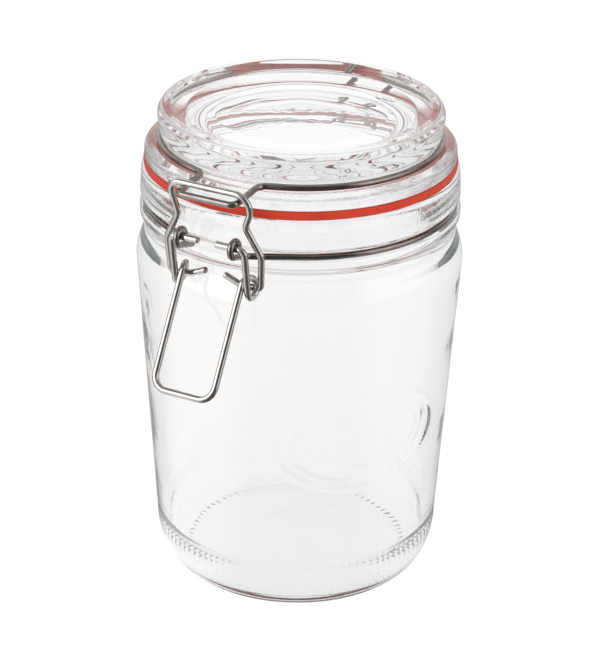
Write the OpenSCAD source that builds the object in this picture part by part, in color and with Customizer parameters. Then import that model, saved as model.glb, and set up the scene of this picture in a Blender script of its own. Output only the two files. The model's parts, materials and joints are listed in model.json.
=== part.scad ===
// Clip-top glass storage jar: glass jar and lid, rubber gasket and a four-wire bail closure.
// Millimetres. Z is the jar's axis, the origin is the middle of the base, the clasp is at -Y
// and the lid's hinge is at +Y. Everything is drawn closed, as the jar stands on a shelf.

/* [Jar body] */
// Radius of the flat that the jar stands on
base_r = 38.3; // [34:0.1:42]
// Width of the rounded heel, from the flat to the wall
heel_w = 10.7; // [6:0.1:13]
// Height of the rounded heel
heel_h = 19.3; // [12:0.1:24]
// How much the wall widens from the heel to the shoulder, on the radius
wall_flare = 6; // [0:0.1:8]
// Height of the wall's top, where the shoulder begins
shoulder_z = 115; // [80:1:160]
// Height of the neck, from the shoulder to the sealing face
neck_h = 32.5; // [30:0.5:40]
// Thickness of the glass wall
wall_t = 3.3; // [2.5:0.1:5]
// Thickness of the glass floor
floor_t = 5; // [3:0.1:9]
// Radius inside the mouth
mouth_r = 42.6; // [38:0.1:44]
// Depth of the neck ring's groove, below the band over it
neck_groove_depth = 3.1; // [2.5:0.1:3.5]

/* [Glass lid] */
// Radius of the lid's flange
flange_r = 52.1; // [50:0.1:54]
// Height of the flange's straight edge
flange_t = 3.6; // [2.5:0.1:5]
// Height of the raised rim above the flange's underside
rim_h = 17.2; // [15:0.1:22]
// Radius of the rim at its widest
rim_r = 47.7; // [46.5:0.1:48.5]
// Radius of the recess's flat floor
recess_r = 28.7; // [24:0.1:32]
// Depth of the recess below the rim's crest
recess_depth = 3.1; // [2:0.1:5]
// Thickness of the glass in the middle of the lid
lid_t = 4.2; // [3:0.1:6]
// How far the domed underside falls from the middle to the plug
dome_fall = 5.1; // [2:0.1:6]
// How far the lid's plug reaches below the flange
plug_depth = 3.6; // [2:0.1:5]
// Gap on the radius between the plug and the mouth
plug_gap = 0.7; // [0.4:0.1:2]

/* [Gasket] */
// Outer radius of the rubber gasket
gasket_r = 52.5; // [51:0.1:54]
// Thickness of the gasket
gasket_t = 3; // [2:0.1:4]
// Gap on the radius between the gasket and the plug
gasket_gap = 1.5; // [0.5:0.1:3]

/* [Wires] */
// Diameter of the wire in the neck ring, the lid ring and the clasp
wire_d = 2.2; // [1.6:0.1:2.4]
// Diameter of the lever's wire
lever_d = 2.3; // [1.8:0.1:2.5]
// Smallest bend radius, on the wire's centre line
bend_r = 2.3; // [2.2:0.1:2.8]
// Running clearance on the radius between a pin and the eye it turns in
pin_gap = 0.1; // [0.05:0.01:0.2]
// Gap between a ring and the floor of its groove
seat_gap = 0.1; // [0.05:0.01:0.3]

/* [Lever] */
// Half the distance between the lever's two eyes, middle to middle
eye_x = 9.9; // [8:0.1:12]
// How far the lever's pins stand out from the jar's wall
pin_out = 6.2; // [5.5:0.1:9]
// Height of the lever's pins below the sealing face
pin_drop = 7.1; // [6:0.1:8.5]
// Half the gap between the ends of the two pins
pin_end_x = 3.1; // [1:0.1:5]
// How far the lever's coils stand out from the jar's wall
coil_out = 0.8; // [0.6:0.1:2]
// Height of the coils below the pins
coil_drop = 15.1; // [13:0.1:17]
// Radius of the coils, on the wire's centre line
coil_r = 3; // [2.8:0.1:3.3]
// Length of the handle, from the coils to its cross bar
handle_l = 38.4; // [25:0.1:50]
// Angle that the handle hangs out from the vertical
handle_tilt = 29.5; // [10:0.5:35]
// Radius of the handle's corners
handle_corner_r = 5; // [3:0.1:7]

/* [Clasp] */
// Half the width of the clasp across its shoulders, on the left
clasp_bulge_x = 17.1; // [16.8:0.1:19]
// How much wider the hand-bent right shoulder is
bulge_skew = 0.5; // [0:0.1:1.5]
// Half the width of the clasp at its waist
clasp_waist_x = 12.3; // [12.1:0.1:13.5]
// Half the width of the clasp at its top corners, on the left
clasp_top_x = 15.1; // [14:0.1:16]
// How much wider the hand-bent right top corner is
top_skew = 1.8; // [0:0.1:2.5]
// Distance of the waist below the top bar
waist_drop = 11.4; // [9:0.1:14]
// Distance of the shoulders below the top bar
bulge_drop = 21; // [18:0.1:24]
// Radius of the clasp's left top corner
top_corner_r = 3.4; // [2.5:0.1:5]
// Radius of the bend where the clasp's leg turns into the coil
foot_bend_r = 1.9; // [1.8:0.1:2.3]
// Gap between the clasp's top bar and the nose that it holds down
latch_gap = 0.6; // [0.5:0.05:0.8]
// Half the gap between the clasp's two tips
tip_end_x = 3.3; // [1:0.1:6]
// Rise of each tip past the coil
tip_rise = 2.5; // [1:0.1:3]
// How much lower the hand-bent left foot hangs
foot_drop = 1.5; // [0:0.1:1.5]

/* [Lid ring] */
// Half the width of the nose, middle to middle of its arms
nose_x = 10.4; // [9:0.1:11]
// How far the nose stands out from the jar's wall
nose_out = 7.4; // [6.8:0.1:9]
// Drop of the nose's bar below the ring
nose_drop = 1.3; // [0:0.1:2]

/* [Hinge] */
// How far the hinge's bar stands out from the jar's wall
hinge_out = 3.4; // [2.8:0.1:7]
// Height of the hinge's bar above the neck ring
hinge_rise = 4; // [2:0.1:6]
// Half the distance between the lid ring's two hinge eyes, middle to middle
hinge_eye_x = 7.5; // [6:0.1:9]

/* [Hidden] */
$fn = 64;
arc_steps = 6;

// Heights, worked out from the base up
neck_ring_drop = 12.6;
lid_ring_rise = 2.6;
gasket_lift = 0.05;
sealing_z = shoulder_z + neck_h;
neck_ring_z = sealing_z - neck_ring_drop;
gasket_z = sealing_z + gasket_lift;
flange_z = gasket_z + gasket_t;
lid_top_z = flange_z + rim_h;
lid_ring_z = flange_z + flange_t + lid_ring_rise;

// Radii, worked out from the pieces that meet there
lid_groove_depth = 1.8;
heel_r = base_r + heel_w;
wall_r = heel_r + wall_flare;
band_r = wall_r - 1.3;
bead_r = wall_r - 1.1;
neck_r = wall_r - 2.7;
plug_r = mouth_r - plug_gap;
gasket_in_r = plug_r + gasket_gap;
neck_groove_r = band_r - neck_groove_depth;
neck_ring_r = neck_groove_r + seat_gap + wire_d / 2;
lid_groove_r = rim_r - lid_groove_depth;
lid_ring_r = lid_groove_r + seat_gap + wire_d / 2;

// Eyes of the neck ring, with room for the lever's pins to seat at the top
eye_slack = 0.35;
eye_r = (wire_d + lever_d) / 2 + eye_slack;
eye_play = eye_slack - pin_gap;
eye_wrap = 270;
pin_y = wall_r + pin_out;
pin_z = sealing_z - pin_drop;

// Coils of the lever: where they hang lower than the neck, they stand out to clear the shoulder
coil_z = pin_z - coil_drop;
coil_pitch = lever_d + 0.15;
coil_foot_z = coil_z - coil_r - lever_d / 2;
shoulder_foot_z = shoulder_z + 6;
coil_y = wall_r + coil_out + max(0, shoulder_foot_z - coil_foot_z) / 2;

// Places across the front, worked out from the neck ring's eyes outwards
side_gap = 0.15;
tip_gap = 0.8;
arm_x = eye_x + wire_d / 2 + side_gap + bend_r;
handle_x = arm_x - coil_pitch;
clasp_leg_x = arm_x + lever_d / 2 + side_gap + foot_bend_r;
tip_bend_x = handle_x - lever_d / 2 - tip_gap;

// Nose of the lid ring, and the clasp's top bar behind it
nose_y = wall_r + nose_out;
nose_z = lid_ring_z - nose_drop;
nose_slope = nose_drop / (nose_y - lid_ring_r);
clasp_top_y = nose_y - wire_d - 0.2;
clasp_top_z = nose_z + nose_slope * (nose_y - clasp_top_y) + wire_d + latch_gap;

// The clasp's pins ride a little above the middle of the coils
clasp_lift = 0.5;

// Hinge at the back
hinge_y = wall_r + hinge_out;
hinge_z = neck_ring_z + hinge_rise;
hinge_eye_r = wire_d + pin_gap;

// A collar hardly wider than the wire closes the seam between two stretches of it
seam_d = 0.02;
seam_l = 0.2;

// ---- Outlines and wires -------------------------------------------------------------------

function unit(v) = v / norm(v);

// Corner a-b-c of an outline, rounded with radius r, as points along the arc
function rounded(a, b, c, r) =
    r <= 0 ? [b] :
    let (
        u = unit(a - b),
        v = unit(c - b),
        half = acos(u * v) / 2,
        centre = b + unit(u + v) * r / sin(half),
        from_centre = b + u * r / tan(half) - centre,
        start = atan2(from_centre.y, from_centre.x),
        turn = sign(cross(b - a, c - b)) * (180 - 2 * half)
    )
    [for (k = [0:arc_steps])
        centre + r * [cos(start + turn * k / arc_steps), sin(start + turn * k / arc_steps)]];

// Closed outline through rows of [radius, height, corner radius]
function outline(rows) =
    let (n = len(rows))
    [for (i = [0:n - 1])
        let (a = rows[(i + n - 1) % n], b = rows[i], c = rows[(i + 1) % n])
        for (p = rounded([a[0], a[1]], [b[0], b[1]], [c[0], c[1]], b[2])) p];

// Quarter of an ellipse round `centre`, from angle a0 to a1
function ellipse_arc(centre, rx, rz, a0, a1) =
    [for (k = [1:arc_steps * 2 - 1])
        let (a = a0 + (a1 - a0) * k / (arc_steps * 2))
        [centre[0] + rx * cos(a), centre[1] + rz * sin(a), 0]];

// One bend of a wire that starts along +Z and turns towards +X
module wire_bend(r, angle, d) {
    translate([r, 0, 0])
        rotate([90, 0, 180])
            rotate_extrude(angle = angle)
                translate([r, 0])
                    circle(d = d);
}

// Collar round the seam between two stretches of a wire that runs along Z
module seam(d) {
    cylinder(h = seam_l, d = d + seam_d, center = true);
}

// Wire made the way a bender makes it: each step is [feed, roll, bend radius, bend angle]
module bent_wire(steps, d, i = 0) {
    feed = steps[i][0];
    roll = steps[i][1];
    r = steps[i][2];
    angle = steps[i][3];
    if (i > 0)
        seam(d);
    if (feed > 0)
        cylinder(h = feed, d = d);
    translate([0, 0, feed])
        rotate([0, 0, roll]) {
            if (feed > 0 && angle > 0)
                seam(d);
            if (angle > 0)
                wire_bend(r, angle, d);
            if (i + 1 < len(steps))
                translate([r, 0, 0])
                    rotate([0, angle, 0])
                        translate([-r, 0, 0])
                            bent_wire(steps, d, i + 1);
        }
}

// Angle from direction a to direction b, seen against the direction `axis`
function angle_about(a, b, axis) = atan2(cross(a, b) * axis, a * b);

// Bender's steps for a route through points, with a bend radius at each inner point.
// `towards` is the direction that the bender's first bend is measured from.
function steps_through(points, radii, towards) =
    let (
        n = len(points),
        runs = [for (i = [0:n - 2]) unit(points[i + 1] - points[i])],
        turns = [for (i = [1:n - 2]) acos(min(1, runs[i - 1] * runs[i]))],
        cuts = [0, for (i = [1:n - 2]) radii[i - 1] * tan(turns[i - 1] / 2), 0],
        sides = [towards, for (i = [1:n - 2]) unit(cross(cross(runs[i - 1], runs[i]), runs[i - 1]))],
        outs = [towards, for (i = [1:n - 2]) unit(cross(cross(runs[i - 1], runs[i]), runs[i]))]
    )
    [for (i = [0:n - 2])
        [
            norm(points[i + 1] - points[i]) - cuts[i] - cuts[i + 1],
            i < n - 2 ? angle_about(outs[i], sides[i + 1], runs[i]) : 0,
            i < n - 2 ? radii[i] : 0,
            i < n - 2 ? turns[i] : 0
        ]];

// Stands children, drawn along +Z, at `origin`, pointing along `dir` with +X turned to `side`
module aimed(origin, dir, side) {
    z = unit(dir);
    x = unit(side - (side * z) * z);
    y = cross(z, x);
    multmatrix([
        [x[0], y[0], z[0], origin[0]],
        [x[1], y[1], z[1], origin[1]],
        [x[2], y[2], z[2], origin[2]]
    ])
        children();
}

// Wire laid through points, with a bend radius at each inner point
module routed_wire(points, radii, d) {
    run = points[1] - points[0];
    side = unit(cross(cross(run, points[2] - points[1]), run));
    aimed(points[0], run, side) {
        seam(d);
        bent_wire(steps_through(points, radii, side), d);
    }
}

// Eye at the end of a wire: it arrives at `start` along `run` and curls towards `side`
module eye(start, run, side, r, angle, d) {
    aimed(start, run, side) {
        seam(d);
        wire_bend(r, angle, d);
    }
}

// Children and their mirror image on the other side of the jar
module both_sides() {
    children();
    mirror([1, 0, 0])
        children();
}

// Collar where the two halves of a wire meet, on the jar's plane of symmetry
module middle_seam(at, d) {
    translate(at)
        rotate([0, 90, 0])
            seam(d);
}

// ---- Glass and rubber ---------------------------------------------------------------------

module jar_body() {
    bead_z = neck_ring_z - wire_d / 2 - 0.2;
    band_z = neck_ring_z + wire_d / 2 + 0.4;
    throat_z = sealing_z - 12;
    outer = concat(
        [[0, 0, 0], [base_r, 0, 0]],
        ellipse_arc([base_r, heel_h], heel_w, heel_h, -90, 0),
        [
            [heel_r, heel_h, 0],
            [wall_r + 0.3, shoulder_z + 2, 12],
            [neck_r, shoulder_z + 10.5, 5],
            [neck_r, bead_z - 4.2, 2.5],
            [bead_r, bead_z - 2.6, 1.2],
            [bead_r, bead_z, 0.7],
            [neck_groove_r, bead_z + 0.2, 0.8],
            [neck_groove_r, band_z, 0.8],
            [band_r, band_z + 1.4, 1],
            [band_r - 0.5, sealing_z, 2.2]
        ]
    );
    inner = [
        [mouth_r, sealing_z, 1],
        [mouth_r, throat_z, 4],
        [wall_r - wall_t - 1.2, throat_z - 12, 7],
        [wall_r - wall_t, shoulder_z - 4, 12],
        [heel_r - wall_t - 0.4, heel_h, 6],
        [base_r + 4, floor_t, 4],
        [0, floor_t, 0]
    ];
    color([0.88, 0.93, 0.92, 0.4])
        rotate_extrude()
            polygon(outline(concat(outer, inner)));
}

module glass_lid() {
    dome_points = 9;
    recess_z = lid_top_z - recess_depth;
    hollow_r = plug_r - 5.6;
    hollow_z = recess_z - lid_t;
    plug_z = flange_z - plug_depth;
    ring_foot_z = lid_ring_z - wire_d / 2;
    underside = [
        for (k = [0 : dome_points - 1])
            [hollow_r * k / dome_points, hollow_z - dome_fall * pow(k / dome_points, 2), 0]
    ];
    rest = [
        [hollow_r, hollow_z - dome_fall, 6.5],
        [plug_r - 4, plug_z, 1.2],
        [plug_r - 0.3, plug_z, 1],
        [plug_r, flange_z, 0],
        [flange_r, flange_z, 0.5],
        [flange_r, flange_z + flange_t + 0.1, 1.6],
        [lid_groove_r + 2.8, ring_foot_z - 0.3, 0.5],
        [lid_groove_r, ring_foot_z - 0.1, 0.7],
        [lid_groove_r, lid_ring_z + 1.2, 1],
        [rim_r - 0.65, lid_ring_z + 2.3, 1.5],
        [rim_r + 0.2, lid_top_z - 2.4, 2.2],
        [rim_r - 1.3, lid_top_z, 1.8],
        [rim_r - 4.3, lid_top_z, 2.5],
        [rim_r - 9.6, lid_top_z - 1.9, 2.6],
        [recess_r, recess_z, 1.6],
        [0, recess_z, 0]
    ];
    color([0.88, 0.93, 0.92, 0.4])
        rotate_extrude()
            polygon(outline(concat(underside, rest)));
}

module gasket() {
    edge = 0.5;
    color("orangered")
        rotate_extrude()
            polygon(outline([
                [gasket_in_r, gasket_z, edge],
                [gasket_r, gasket_z, edge],
                [gasket_r, flange_z, edge],
                [gasket_in_r, flange_z, edge]
            ]));
}

// ---- Wires --------------------------------------------------------------------------------

// Part of a ring in its groove, on the +X side, between two angles from the front
module ring_arc(r, z, from_angle, to_angle) {
    translate([0, 0, z])
        rotate([0, 0, from_angle - 90])
            rotate_extrude(angle = to_angle - from_angle)
                translate([r, 0])
                    circle(d = wire_d);
}

// Point on a ring, at an angle from the front
function on_ring(r, z, angle) = [r * sin(angle), -r * cos(angle), z];

// Where a wire in a ring's groove runs straight on towards a line at x = side
function off_ring(r, z, angle, side) =
    let (p = on_ring(r, z, angle), t = (r * sin(angle) - side) / cos(angle))
    p + t * [-cos(angle), -sin(angle), 0];

module neck_ring() {
    front_angle = 28;
    rear_angle = 20;
    rear_x = hinge_eye_x + wire_d / 2 + bend_r + 0.6;
    ear_foot = off_ring(neck_ring_r, neck_ring_z, front_angle, eye_x);
    eye_middle = [eye_x, -pin_y, pin_z - eye_play];
    reach = norm(eye_middle - ear_foot);
    tilt = atan2(eye_middle.z - ear_foot.z, ear_foot.y - eye_middle.y) - asin(eye_r / reach);
    ear_run = [0, -cos(tilt), sin(tilt)];
    ear_side = [0, sin(tilt), cos(tilt)];
    ear_end = eye_middle - eye_r * ear_side;
    bar_foot = off_ring(neck_ring_r, neck_ring_z, 180 - rear_angle, rear_x);
    bar_end = [rear_x, hinge_y, hinge_z];
    bar_middle = [0, hinge_y, hinge_z];
    color("silver") {
        middle_seam(bar_middle, wire_d);
        both_sides() {
            ring_arc(neck_ring_r, neck_ring_z, front_angle, 180 - rear_angle);
            routed_wire([on_ring(neck_ring_r, neck_ring_z, front_angle), ear_foot, ear_end], [bend_r], wire_d);
            eye(ear_end, ear_run, ear_side, eye_r, eye_wrap, wire_d);
            routed_wire(
                [on_ring(neck_ring_r, neck_ring_z, 180 - rear_angle), bar_foot, bar_end, bar_middle],
                [bend_r, bend_r],
                wire_d
            );
        }
    }
}

module lid_ring() {
    front_angle = 20;
    rear_angle = 15;
    nose_bend_r = 4;
    down_x = hinge_eye_x;
    down_y = hinge_y + hinge_eye_r;
    nose_foot = off_ring(lid_ring_r, lid_ring_z, front_angle, nose_x);
    nose_corner = [nose_x, -nose_y, nose_z];
    nose_middle = [0, -nose_y, nose_z];
    down_foot = off_ring(lid_ring_r, lid_ring_z, 180 - rear_angle, down_x);
    down_corner = [down_x, down_y, lid_ring_z];
    down_end = [down_x, down_y, hinge_z];
    color("silver") {
        middle_seam(nose_middle, wire_d);
        both_sides() {
            ring_arc(lid_ring_r, lid_ring_z, front_angle, 180 - rear_angle);
            routed_wire(
                [on_ring(lid_ring_r, lid_ring_z, front_angle), nose_foot, nose_corner, nose_middle],
                [nose_bend_r, bend_r],
                wire_d
            );
            routed_wire(
                [on_ring(lid_ring_r, lid_ring_z, 180 - rear_angle), down_foot, down_corner, down_end],
                [bend_r, bend_r],
                wire_d
            );
            eye(down_end, [0, 0, -1], [0, -1, 0], hinge_eye_r, eye_wrap, wire_d);
        }
    }
}

module lever() {
    start = [0, -coil_y - coil_r * cos(handle_tilt), coil_z + coil_r * sin(handle_tilt)]
        + handle_l * [0, -sin(handle_tilt), -cos(handle_tilt)];
    reach = norm([pin_y - coil_y, coil_drop]);
    pin_angle = atan2(coil_drop, pin_y - coil_y);
    arm_angle = pin_angle - acos(coil_r / reach);
    arm_l = sqrt(reach * reach - coil_r * coil_r);
    over_r = norm([coil_r, coil_pitch / 2]);
    over_roll = atan2(coil_pitch / 2, coil_r);
    color("silver") {
        middle_seam(start, lever_d);
        both_sides()
            aimed(start, [1, 0, 0], [0, sin(handle_tilt), cos(handle_tilt)])
                bent_wire(
                    [
                        [handle_x - handle_corner_r, 0, handle_corner_r, 90],
                        [handle_l - handle_corner_r, -90 - over_roll, over_r, 180],
                        [0, -over_roll, coil_r, 180 - handle_tilt + arm_angle],
                        [arm_l - bend_r, 90, bend_r, 90],
                        [arm_x - bend_r - pin_end_x, 0, 0, 0]
                    ],
                    lever_d
                );
    }
}

// Right half of the clasp: its top corner and shoulder are wider, and its foot hangs lower,
// by the given amounts
module clasp_half(top_extra, bulge_extra, drop) {
    pin = [0, -coil_y, coil_z];
    top = [0, -clasp_top_y, clasp_top_z];
    up = unit(top - pin);
    height = norm(top - pin);
    routed_wire(
        [
            top,
            top + [clasp_top_x + top_extra, 0, 0],
            pin + [clasp_waist_x, 0, 0] + up * (height - waist_drop),
            pin + [clasp_bulge_x + bulge_extra, 0, 0] + up * (height - bulge_drop),
            pin + [clasp_leg_x, 0, 0] + up * (clasp_lift - drop),
            pin + [tip_bend_x, 0, 0] + up * clasp_lift,
            pin + [tip_end_x, 0, 0] + up * (clasp_lift + tip_rise)
        ],
        [top_corner_r + top_extra, bend_r + 0.7, 4.5, foot_bend_r, bend_r],
        wire_d
    );
}

module clasp() {
    color("silver") {
        clasp_half(top_skew, bulge_skew, 0);
        mirror([1, 0, 0])
            clasp_half(0, 0, foot_drop);
    }
}

jar_body();
neck_ring();
gasket();
glass_lid();
lid_ring();
lever();
clasp();
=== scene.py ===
# %% [markdown]
# # A clip-top glass storage jar
#
# The jar is pressed glass with a glass lid, a rubber gasket and four pieces of bent wire.
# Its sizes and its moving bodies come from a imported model, the frame. This lesson makes what the
# eye sees round that frame: clear glass with real thickness, rubber, and drawn steel wire.
# Glass only looks right if its walls are closed solids, so the jar and the lid are turned from
# full sections, inside and outside together.

# %% Load the frame
import json
import math

import bpy
import numpy as np
from mathutils import Matrix, Vector


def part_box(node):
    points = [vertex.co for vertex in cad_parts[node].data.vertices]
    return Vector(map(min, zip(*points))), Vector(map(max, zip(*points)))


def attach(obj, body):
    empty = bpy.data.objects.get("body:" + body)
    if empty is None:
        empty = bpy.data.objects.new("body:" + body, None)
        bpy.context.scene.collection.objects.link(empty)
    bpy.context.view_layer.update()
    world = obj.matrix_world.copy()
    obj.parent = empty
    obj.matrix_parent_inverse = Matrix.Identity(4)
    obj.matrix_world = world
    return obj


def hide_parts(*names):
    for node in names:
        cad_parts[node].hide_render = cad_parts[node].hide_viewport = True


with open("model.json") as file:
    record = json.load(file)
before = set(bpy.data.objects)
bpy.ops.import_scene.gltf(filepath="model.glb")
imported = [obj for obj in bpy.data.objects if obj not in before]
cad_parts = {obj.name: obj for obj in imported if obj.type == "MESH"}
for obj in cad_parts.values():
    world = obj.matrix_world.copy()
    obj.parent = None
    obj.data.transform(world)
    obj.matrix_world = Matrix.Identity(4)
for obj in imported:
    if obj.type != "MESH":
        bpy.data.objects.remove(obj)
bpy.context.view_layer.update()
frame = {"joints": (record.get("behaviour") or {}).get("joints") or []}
MM, CM3 = 1e-3, 1e-6

# %% [markdown]
# ## Sizes
#
# Every size is in millimetres. What a node's box or a joint gives is read from the frame, so the
# jar, the lid, the gasket and the wires meet where the frame says they meet. The other sizes
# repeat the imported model's.

# %% Sizes shared by several pieces


def low(node):
    """Lowest corner of a frame node's box, in millimetres."""
    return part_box(node)[0] / MM


def high(node):
    """Highest corner of a frame node's box, in millimetres."""
    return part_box(node)[1] / MM


def pivot(name):
    """Reach from the jar's axis and height of a joint, in millimetres."""
    joint = next(j for j in frame["joints"] if j["name"] == name)
    return abs(joint["pos_m"][1]) / MM, joint["pos_m"][2] / MM


WIRE = 2.2
LEVER_WIRE = 2.3
BEND = 2.3
GROOVE_GAP = 0.1
sealing_z = high("jar_body").z
gasket_z = low("gasket").z
flange_z = high("gasket").z
lid_top_z = high("glass_lid").z
gasket_r = high("gasket").x
flange_r = high("glass_lid").x
rim_r = 47.7
wall_r = 55.0
base_r = 38.3
heel_w, heel_h = 10.7, 19.3
heel_r = base_r + heel_w
shoulder_z = sealing_z - 32.5
mouth_r = 42.6
neck_ring_z = sealing_z - 12.6
lid_ring_z = flange_z + 6.2
neck_groove_r = wall_r - 4.4
lid_groove_r = rim_r - 1.8
neck_ring_r = neck_groove_r + GROOVE_GAP + WIRE / 2
lid_ring_r = lid_groove_r + GROOVE_GAP + WIRE / 2
pin_y, pin_z = pivot("lever_hinge")
coil_y, coil_z = pivot("clasp_hinge")
hinge_y, hinge_z = pivot("lid_hinge")
print(f"sealing face {sealing_z:.2f}, flange {flange_z:.2f}, top {lid_top_z:.2f} mm")

# %% [markdown]
# ## The camera
#
# The camera stands a little under a metre away, above the jar and to the right of the clasp, with
# a long lens, so the sides of the jar stay nearly parallel. It leans by less than a degree.

# %% Set up the camera
CAMERA_AZIMUTH = math.radians(28.5)
CAMERA_HEIGHT = math.radians(25.3)
CAMERA_LEAN = math.radians(0.86)
CAMERA_DISTANCE = 900.0
LENS, SENSOR = 142.7, 36
NEAREST = 0.05
aim_side, aim_z = 0.56, 84.83

to_camera = Vector(
    (
        math.sin(CAMERA_AZIMUTH) * math.cos(CAMERA_HEIGHT),
        -math.cos(CAMERA_AZIMUTH) * math.cos(CAMERA_HEIGHT),
        math.sin(CAMERA_HEIGHT),
    )
)
to_right = Vector((math.cos(CAMERA_AZIMUTH), math.sin(CAMERA_AZIMUTH), 0))
to_front = Vector((math.sin(CAMERA_AZIMUTH), -math.cos(CAMERA_AZIMUTH), 0))
aim = to_right * aim_side + Vector((0, 0, aim_z))
camera_place = (aim + to_camera * CAMERA_DISTANCE) * MM
up = to_camera.cross(to_right)
leaning_right = to_right * math.cos(CAMERA_LEAN) + up * math.sin(CAMERA_LEAN)
leaning_up = up * math.cos(CAMERA_LEAN) - to_right * math.sin(CAMERA_LEAN)

lens = bpy.data.cameras.new("camera")
lens.lens = LENS
lens.sensor_width = SENSOR
lens.clip_start = NEAREST
camera = bpy.data.objects.new("camera", lens)
bpy.context.scene.collection.objects.link(camera)
camera_turn = Matrix((leaning_right, leaning_up, to_camera)).transposed()
camera.matrix_world = Matrix.Translation(camera_place) @ camera_turn.to_4x4()
bpy.context.scene.camera = camera
print("camera at", [round(v, 3) for v in camera_place])

# %% [markdown]
# ## Nodes written as sums
#
# Materials and modifiers are both networks of nodes. To keep them readable, one small class wraps
# a socket, so that `1 - mask * 0.5` adds the two Math nodes that work it out. A second class adds
# any other node: its type, its settings, and the values or links of its sockets.

# %% Sockets that can be added and multiplied


class Socket:
    """An output socket that can stand in a sum."""

    def __init__(self, nodes, link):
        self.nodes = nodes
        self.link = link

    def maths(self, operation, *others):
        return self.nodes.add("ShaderNodeMath", {"operation": operation}, self, *others)

    def __add__(self, other):
        return self.maths("ADD", other)

    def __sub__(self, other):
        return self.maths("SUBTRACT", other)

    def __rsub__(self, other):
        return self.nodes.add("ShaderNodeMath", {"operation": "SUBTRACT"}, other, self)

    def __mul__(self, other):
        return self.maths("MULTIPLY", other)

    def __truediv__(self, other):
        return self.maths("DIVIDE", other)

    def __pow__(self, other):
        return self.maths("POWER", other)

    __radd__ = __add__
    __rmul__ = __mul__

    def fade(self, start, end):
        """0 below start, 1 above end, and smooth between them."""
        smooth = {"interpolation_type": "SMOOTHSTEP"}
        limits = {"From_Min": start, "From_Max": end}
        return self.nodes.add("ShaderNodeMapRange", smooth, Value=self, **limits)

    def within(self, low_end, high_end, soft):
        """1 between two values, fading out over `soft` beyond both."""
        return self.fade(low_end - soft, low_end) * (1 - self.fade(high_end, high_end + soft))

    def ridge(self, half_width):
        """1 where the value is 0, and 0 beyond half_width on both sides."""
        return 1 - self.maths("ABSOLUTE").fade(0.0, half_width)


class Nodes:
    """A node tree, with a short way to add a node and plug its sockets."""

    def __init__(self, tree):
        self.tree = tree

    def plug(self, socket, value):
        if isinstance(value, Socket):
            self.tree.links.new(value.link, socket)
        else:
            socket.default_value = value

    def node(self, kind, settings=None, *values, **named):
        """A new node. Settings come first, because they can change which sockets it has."""
        node = self.tree.nodes.new(kind)
        for key, value in (settings or {}).items():
            if key == "stops":
                ramp = node.color_ramp.elements
                while len(ramp) < len(value):
                    ramp.new(1)
                for stop, (position, colour) in zip(ramp, value):
                    stop.position, stop.color = position, colour
            elif key == "captured":
                for name, kind_of_value in value:
                    node.capture_items.new(kind_of_value, name)
            else:
                setattr(node, key, value)
        ready = [socket for socket in node.inputs if socket.enabled]
        for socket, value in zip(ready, values):
            self.plug(socket, value)
        for name, value in named.items():
            self.plug(next(s for s in ready if s.name == name.replace("_", " ")), value)
        return node

    def out(self, node, name=None):
        """A node's output of that name, or its first one in use."""
        return Socket(self, next(s for s in node.outputs if s.enabled and name in (None, s.name)))

    def add(self, kind, settings=None, *values, output=None, **named):
        """A new node's output."""
        return self.out(self.node(kind, settings, *values, **named), output)

    def vector(self, operation, *values, output=None, **named):
        settings = {"operation": operation}
        return self.add("ShaderNodeVectorMath", settings, *values, output=output, **named)

    def noise(self, place, scale, detail=2.0, roughness=0.5):
        sizes = {"Scale": scale, "Detail": detail, "Roughness": roughness}
        return self.add("ShaderNodeTexNoise", None, Vector=place, **sizes)


# %% [markdown]
# ## Outlines
#
# A turned piece is drawn as half of its section: rows of radius, height and corner radius. A
# corner becomes a true arc. Between two corners the outline gets a few more points, closer
# together near the arcs, so that the light runs evenly over the flat stretches.

# %% Rounded outlines
EDGE_STEP, LONGEST = 0.7, 2.5
SAME_PLACE = 1e-4
ARC_CHORD = 0.4
FINEST_TURN, COARSEST_TURN = math.radians(8), math.radians(22)


def arc_step(radius):
    """Angle between the points of an arc: small arcs need fewer of them."""
    return max(FINEST_TURN, min(COARSEST_TURN, ARC_CHORD / radius))


def rounded_route(points, radii):
    """Points along a route with an arc at each inner point."""
    route = [Vector(points[0])]
    for before, corner, after, radius in zip(points, points[1:], points[2:], radii):
        corner = Vector(corner)
        u = (Vector(before) - corner).normalized()
        v = (Vector(after) - corner).normalized()
        if radius <= 0:
            route.append(corner)
            continue
        half = math.acos(max(-1, min(1, u.dot(v)))) / 2
        centre = corner + (u + v).normalized() * radius / math.sin(half)
        start = corner + u * radius / math.tan(half) - centre
        end = corner + v * radius / math.tan(half) - centre
        sweep = math.pi - 2 * half
        count = max(2, math.ceil(sweep / arc_step(radius)))
        for k in range(count + 1):
            t = sweep * k / count
            a, b = math.sin(sweep - t) / math.sin(sweep), math.sin(t) / math.sin(sweep)
            route.append(centre + start * a + end * b)
    route.append(Vector(points[-1]))
    return route


def spaced(route, longest):
    """The route with extra points on its long stretches, closer together near their ends."""
    result = [route[0]]
    for a, b in zip(route, route[1:]):
        length = (b - a).length
        run = length - 2 * EDGE_STEP
        if run > EDGE_STEP / 2:
            inner = max(1, math.ceil(run / longest(a.lerp(b, 0.5))))
            for k in range(inner + 1):
                result.append(a.lerp(b, (EDGE_STEP + run * k / inner) / length))
        if length > SAME_PLACE:
            result.append(b)
    return result


def section(rows, longest=lambda p: LONGEST):
    """Half section through rows of radius, height and corner radius. `longest(p)` says how far
    apart its points may be at a place."""
    points = [(r, 0, z) for r, z, _ in rows]
    return spaced(rounded_route(points, [c for _, _, c in rows[1:-1]]), longest)


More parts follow.
